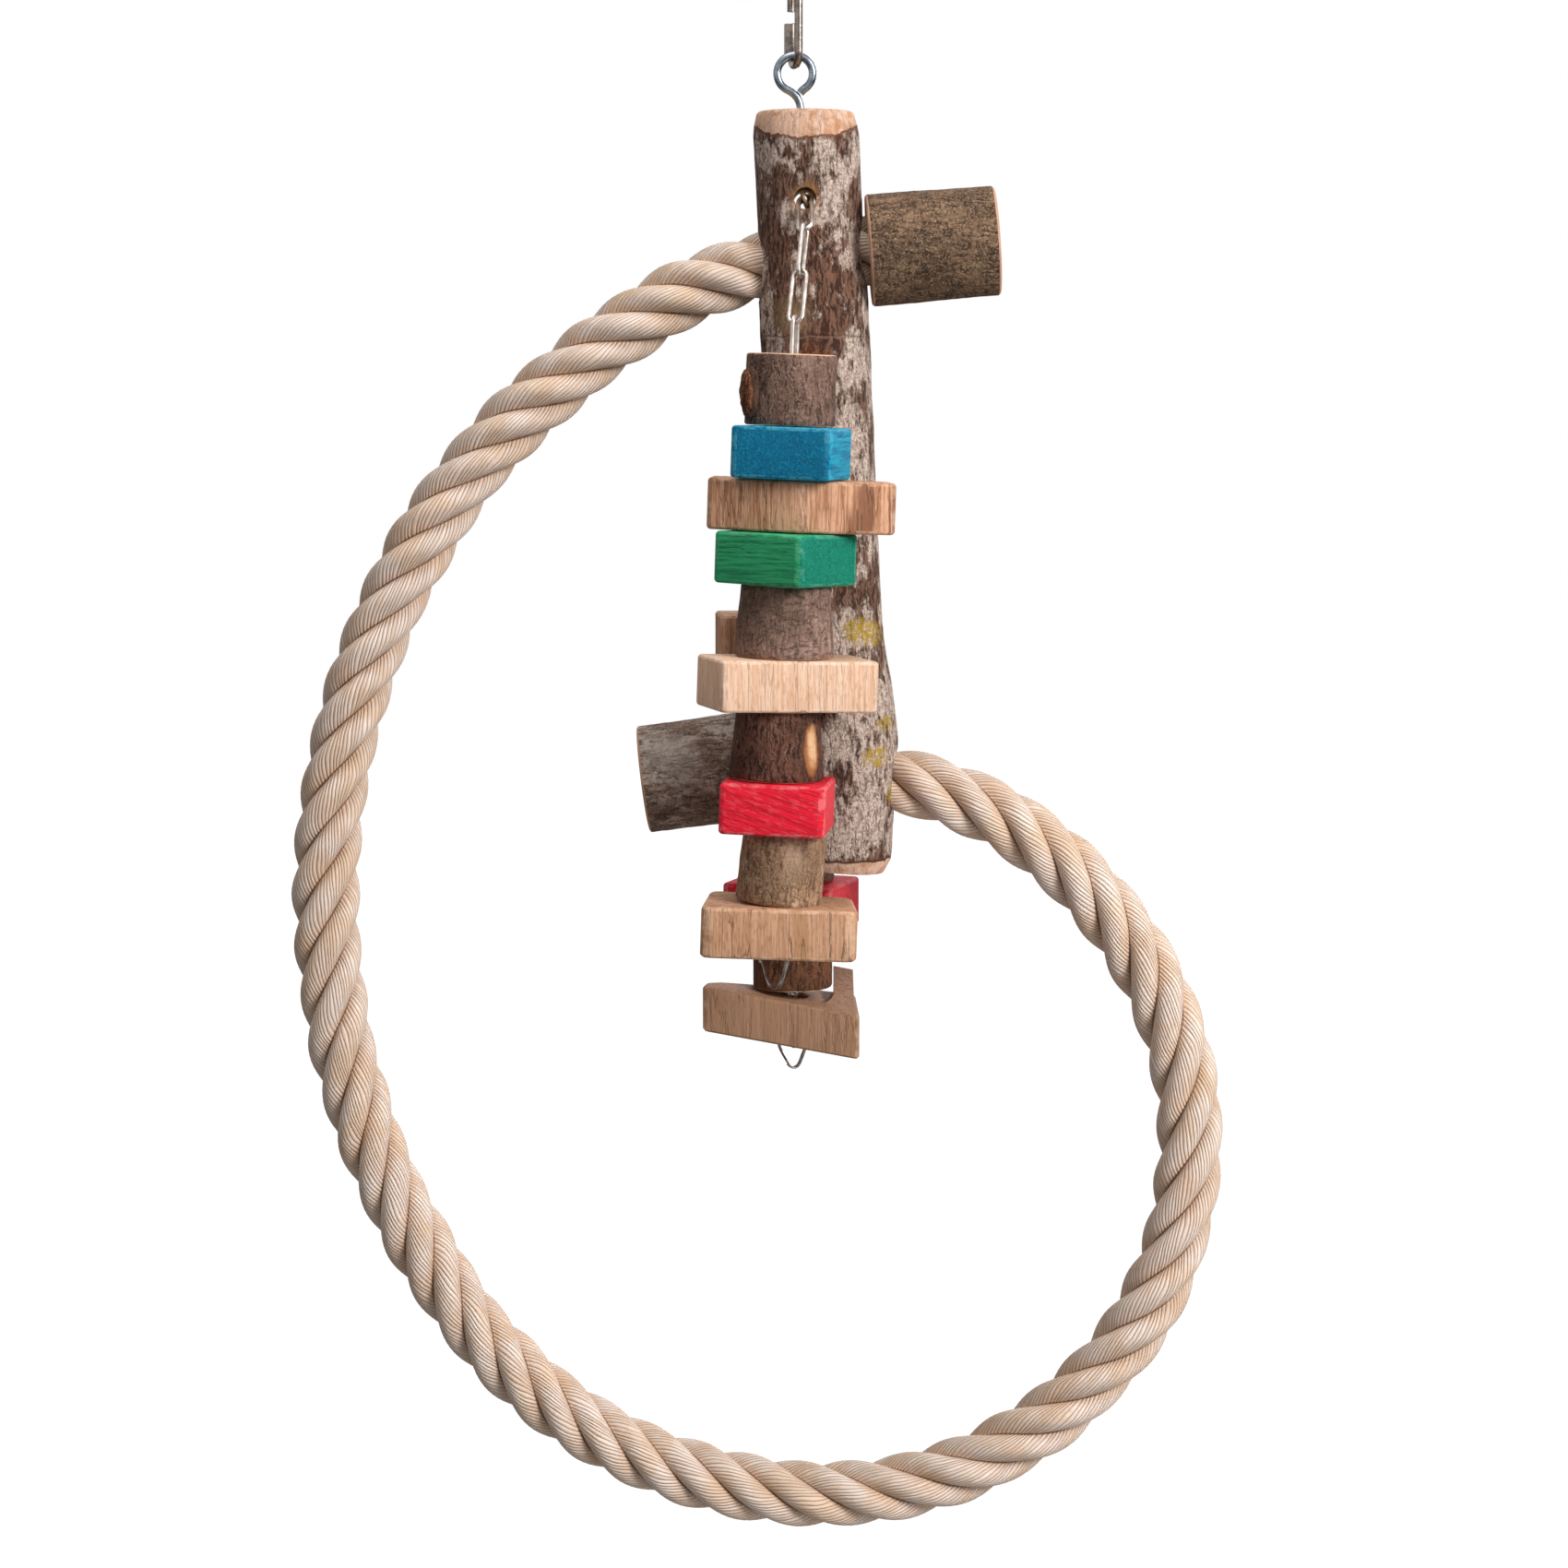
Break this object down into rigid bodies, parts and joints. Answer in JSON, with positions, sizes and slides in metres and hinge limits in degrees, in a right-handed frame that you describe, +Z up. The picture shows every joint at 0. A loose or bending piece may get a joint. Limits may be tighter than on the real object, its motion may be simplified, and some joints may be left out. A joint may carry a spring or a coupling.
{
  "type": "bird climbing spiral",
  "caption": "Hanging bird perch: a bark post on a screw eye, a thick rope bent into an open spiral between branch knobs, and chained strings of coloured wooden blocks.",
  "frame": {"origin": "inside top of the quick link, where the hook above it bears", "axes": "+Z up, +X to the right when the rope loop is seen face on with the eye-side string of blocks in front, +Y away from the viewer; the rope loop lies in the XZ plane"},
  "size_m": [0.4089, 0.1638, 0.6806],
  "materials": {
    "stainless": "bright drawn wire",
    "zinc": "bright zinc plated",
    "post_bark": "mottled smooth bark",
    "branch_bark": "thin brown bark, sawn ends",
    "rope": "laid natural fibre",
    "beech": "sanded bare wood",
    "heartwood": "sanded bare wood, brown stripes",
    "blue_stain": "water stain",
    "green_stain": "water stain",
    "red_stain": "water stain"
  },
  "bodies": {
    "quick_link": {"quick_link": "stainless"},
    "quick_link_nut": {"quick_link_nut": "stainless"},
    "post": {"main_post": "post_bark", "screw_eye": "zinc", "climbing_rope": "rope", "upper_knob": "branch_bark", "lower_knob": "branch_bark", "upper_knob_screw": "zinc", "lower_knob_screw": "zinc", "chain_link_in_post": "stainless", "front_chain_link_1": "stainless", "back_chain_link_1": "stainless"},
    "front_link_2": {"front_chain_link_2": "stainless"},
    "front_link_3": {"front_chain_link_3": "stainless"},
    "front_string": {"front_chain_link_4": "stainless", "front_inner_chain": "stainless", "front_end_ring": "stainless"},
    "back_link_2": {"back_chain_link_2": "stainless"},
    "back_link_3": {"back_chain_link_3": "stainless"},
    "back_string": {"back_chain_link_4": "stainless", "back_chain_link_5": "stainless", "back_chain_link_6": "stainless", "back_inner_chain": "stainless", "back_end_ring": "stainless"},
    "front_slice_1": {"front_slice_1": "branch_bark"},
    "front_blue_block": {"front_blue_block": "blue_stain"},
    "front_natural_block": {"front_natural_block": "heartwood"},
    "front_green_block": {"front_green_block": "green_stain"},
    "front_slice_2": {"front_slice_2": "branch_bark"},
    "front_beech_block": {"front_beech_block": "beech"},
    "front_slice_3": {"front_slice_3": "branch_bark"},
    "front_red_block": {"front_red_block": "red_stain"},
    "front_slice_4": {"front_slice_4": "branch_bark"},
    "front_bottom_block": {"front_bottom_block": "beech"},
    "back_slice_1": {"back_slice_1": "branch_bark"},
    "back_green_block": {"back_green_block": "green_stain"},
    "back_slice_2": {"back_slice_2": "branch_bark"},
    "back_natural_block": {"back_natural_block": "heartwood"},
    "back_slice_3": {"back_slice_3": "branch_bark"},
    "back_beech_block": {"back_beech_block": "beech"},
    "back_blue_block": {"back_blue_block": "blue_stain"},
    "back_slice_4": {"back_slice_4": "branch_bark"},
    "back_red_block": {"back_red_block": "red_stain"},
    "back_slice_5": {"back_slice_5": "branch_bark"},
    "back_half_round_block": {"back_half_round_block": "beech"}
  },
  "joints": [
    {"name": "quick_link_nut_travel", "type": "slide", "parent": "quick_link", "child": "quick_link_nut", "axis": [0, 0, 1], "range_m": [0, 0.009]},
    {"name": "post_swing", "type": "hinge", "parent": "quick_link", "child": "post", "pos_m": [0, 0, -0.0338], "axis": [0, 1, 0], "range_deg": [-25, 25]},
    {"name": "front_link_2_lift", "type": "hinge", "parent": "post", "child": "front_link_2", "pos_m": [0.0042, -0.03357, -0.10384], "axis": [-1, 0, 0], "range_deg": [0, 25]},
    {"name": "front_link_3_side_swing", "type": "hinge", "parent": "front_link_2", "child": "front_link_3", "pos_m": [0.0021, -0.04278, -0.12315], "axis": [0, 1, 0], "range_deg": [-8, 8]},
    {"name": "front_string_lift", "type": "hinge", "parent": "front_link_3", "child": "front_string", "pos_m": [0, -0.052, -0.14246], "axis": [-1, 0, 0], "range_deg": [0, 20]},
    {"name": "back_link_2_lift", "type": "hinge", "parent": "post", "child": "back_link_2", "pos_m": [0.0042, 0.02459, -0.09999], "axis": [1, 0, 0], "range_deg": [0, 25]},
    {"name": "back_link_3_side_swing", "type": "hinge", "parent": "back_link_2", "child": "back_link_3", "pos_m": [0.00175, 0.03654, -0.11769], "axis": [0, 1, 0], "range_deg": [-8, 8]},
    {"name": "back_string_lift", "type": "hinge", "parent": "back_link_3", "child": "back_string", "pos_m": [-0.0007, 0.0485, -0.13539], "axis": [1, 0, 0], "range_deg": [0, 20]},
    {"name": "front_slice_1_turn", "type": "hinge", "parent": "front_string", "child": "front_slice_1", "pos_m": [0, -0.052, -0.14246], "axis": [0.0349, 0, 0.9994], "continuous": true},
    {"name": "front_blue_block_turn", "type": "hinge", "parent": "front_string", "child": "front_blue_block", "pos_m": [0, -0.052, -0.14246], "axis": [0.0349, 0, 0.9994], "range_deg": [-45, 45]},
    {"name": "front_natural_block_turn", "type": "hinge", "parent": "front_string", "child": "front_natural_block", "pos_m": [0, -0.052, -0.14246], "axis": [0.0349, 0, 0.9994], "range_deg": [-10, 8]},
    {"name": "front_green_block_turn", "type": "hinge", "parent": "front_string", "child": "front_green_block", "pos_m": [0, -0.052, -0.14246], "axis": [0.0349, 0, 0.9994], "range_deg": [-60, 60]},
    {"name": "front_slice_2_turn", "type": "hinge", "parent": "front_string", "child": "front_slice_2", "pos_m": [0, -0.052, -0.14246], "axis": [0.0349, 0, 0.9994], "continuous": true},
    {"name": "front_beech_block_turn", "type": "hinge", "parent": "front_string", "child": "front_beech_block", "pos_m": [0, -0.052, -0.14246], "axis": [0.0349, 0, 0.9994], "range_deg": [-40, 4]},
    {"name": "front_slice_3_turn", "type": "hinge", "parent": "front_string", "child": "front_slice_3", "pos_m": [0, -0.052, -0.14246], "axis": [0.0349, 0, 0.9994], "continuous": true},
    {"name": "front_red_block_turn", "type": "hinge", "parent": "front_string", "child": "front_red_block", "pos_m": [0, -0.052, -0.14246], "axis": [0.0349, 0, 0.9994], "range_deg": [-24, 38]},
    {"name": "front_slice_4_turn", "type": "hinge", "parent": "front_string", "child": "front_slice_4", "pos_m": [0, -0.052, -0.14246], "axis": [0.0349, 0, 0.9994], "continuous": true},
    {"name": "front_bottom_block_turn", "type": "hinge", "parent": "front_string", "child": "front_bottom_block", "pos_m": [0, -0.052, -0.14246], "axis": [0.0349, 0, 0.9994], "range_deg": [-8, 20]},
    {"name": "back_slice_1_turn", "type": "hinge", "parent": "back_string", "child": "back_slice_1", "pos_m": [-0.0007, 0.0485, -0.13539], "axis": [0, 0, 1], "continuous": true},
    {"name": "back_green_block_turn", "type": "hinge", "parent": "back_string", "child": "back_green_block", "pos_m": [-0.0007, 0.0485, -0.13539], "axis": [0, 0, 1], "range_deg": [-20, 8]},
    {"name": "back_slice_2_turn", "type": "hinge", "parent": "back_string", "child": "back_slice_2", "pos_m": [-0.0007, 0.0485, -0.13539], "axis": [0, 0, 1], "continuous": true},
    {"name": "back_natural_block_turn", "type": "hinge", "parent": "back_string", "child": "back_natural_block", "pos_m": [-0.0007, 0.0485, -0.13539], "axis": [0, 0, 1], "range_deg": [-18, 6]},
    {"name": "back_slice_3_turn", "type": "hinge", "parent": "back_string", "child": "back_slice_3", "pos_m": [-0.0007, 0.0485, -0.13539], "axis": [0, 0, 1], "continuous": true},
    {"name": "back_beech_block_turn", "type": "hinge", "parent": "back_string", "child": "back_beech_block", "pos_m": [-0.0007, 0.0485, -0.13539], "axis": [0, 0, 1], "range_deg": [-10, 18]},
    {"name": "back_blue_block_turn", "type": "hinge", "parent": "back_string", "child": "back_blue_block", "pos_m": [-0.0007, 0.0485, -0.13539], "axis": [0, 0, 1], "range_deg": [-7, 20]},
    {"name": "back_slice_4_turn", "type": "hinge", "parent": "back_string", "child": "back_slice_4", "pos_m": [-0.0007, 0.0485, -0.13539], "axis": [0, 0, 1], "continuous": true},
    {"name": "back_red_block_turn", "type": "hinge", "parent": "back_string", "child": "back_red_block", "pos_m": [-0.0007, 0.0485, -0.13539], "axis": [0, 0, 1], "continuous": true},
    {"name": "back_slice_5_turn", "type": "hinge", "parent": "back_string", "child": "back_slice_5", "pos_m": [-0.0007, 0.0485, -0.13539], "axis": [0, 0, 1], "continuous": true},
    {"name": "back_half_round_block_turn", "type": "hinge", "parent": "back_string", "child": "back_half_round_block", "pos_m": [-0.0007, 0.0485, -0.13539], "axis": [0, 0, 1], "continuous": true}
  ]
}
